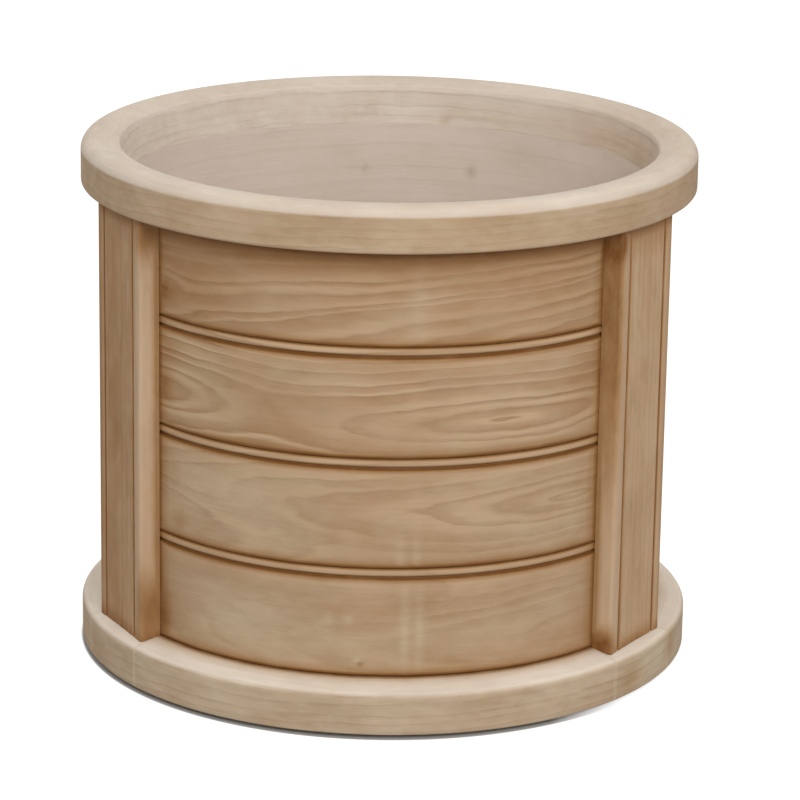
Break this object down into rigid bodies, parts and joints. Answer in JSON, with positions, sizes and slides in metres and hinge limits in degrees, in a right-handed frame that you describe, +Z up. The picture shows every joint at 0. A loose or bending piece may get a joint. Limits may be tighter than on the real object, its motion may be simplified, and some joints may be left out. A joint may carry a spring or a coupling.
{
  "type": "planter",
  "caption": "Round straight-sided wooden planter: curved beaded boards between flat posts, a plinth ring below, a heavy rounded rim above, a thin lining and a slatted draining floor inside",
  "frame": {"origin": "on the ground, under the middle of the planter", "axes": "+Z up, -Y towards the middle of the front bay, +X to the right"},
  "size_m": [0.604, 0.604, 0.5101],
  "materials": {
    "rim_wood": "pale limed tan wood, smooth, soft rounded edges, light brown stain in the grain",
    "plinth_wood": "pale limed tan wood, paler on the weathered top, light brown stain in the grain",
    "post_wood": "limed tan wood with upright grain, brown stain in the quirks, pale rubbed edges",
    "board_wood": "limed tan wood with raised level grain and knots, dark brown stain in the quirks and corners",
    "lining_wood": "smooth pale pinkish grey limewash with faint level grain",
    "floor_wood": "plain sawn softwood, unstained",
    "joinery_wood": "plain hardwood, unfinished",
    "pad_rubber": "black moulded rubber"
  },
  "bodies": {
    "root": {"front_board_1": "board_wood", "front_board_2": "board_wood", "front_board_3": "board_wood", "front_board_4": "board_wood", "front_lining_sheet": "lining_wood", "front_rim_segment": "rim_wood", "front_plinth_segment": "plinth_wood", "right_board_1": "board_wood", "right_board_2": "board_wood", "right_board_3": "board_wood", "right_board_4": "board_wood", "right_lining_sheet": "lining_wood", "right_rim_segment": "rim_wood", "right_plinth_segment": "plinth_wood", "left_board_1": "board_wood", "left_board_2": "board_wood", "left_board_3": "board_wood", "left_board_4": "board_wood", "left_lining_sheet": "lining_wood", "left_rim_segment": "rim_wood", "left_plinth_segment": "plinth_wood", "right_post": "post_wood", "right_plinth_block": "plinth_wood", "right_foot_pad": "pad_rubber", "right_rim_key": "joinery_wood", "right_plinth_dowel_1": "joinery_wood", "right_plinth_dowel_2": "joinery_wood", "back_post": "post_wood", "back_plinth_block": "plinth_wood", "back_foot_pad": "pad_rubber", "back_rim_key": "joinery_wood", "back_plinth_dowel_1": "joinery_wood", "back_plinth_dowel_2": "joinery_wood", "left_post": "post_wood", "left_plinth_block": "plinth_wood", "left_foot_pad": "pad_rubber", "left_rim_key": "joinery_wood", "left_plinth_dowel_1": "joinery_wood", "left_plinth_dowel_2": "joinery_wood", "floor_slat_1": "floor_wood", "floor_slat_2": "floor_wood", "floor_slat_3": "floor_wood", "floor_slat_4": "floor_wood", "floor_slat_5": "floor_wood", "floor_slat_6": "floor_wood", "floor_slat_7": "floor_wood", "floor_slat_8": "floor_wood", "floor_bearer_1": "floor_wood", "floor_bearer_2": "floor_wood"}
  },
  "joints": []
}
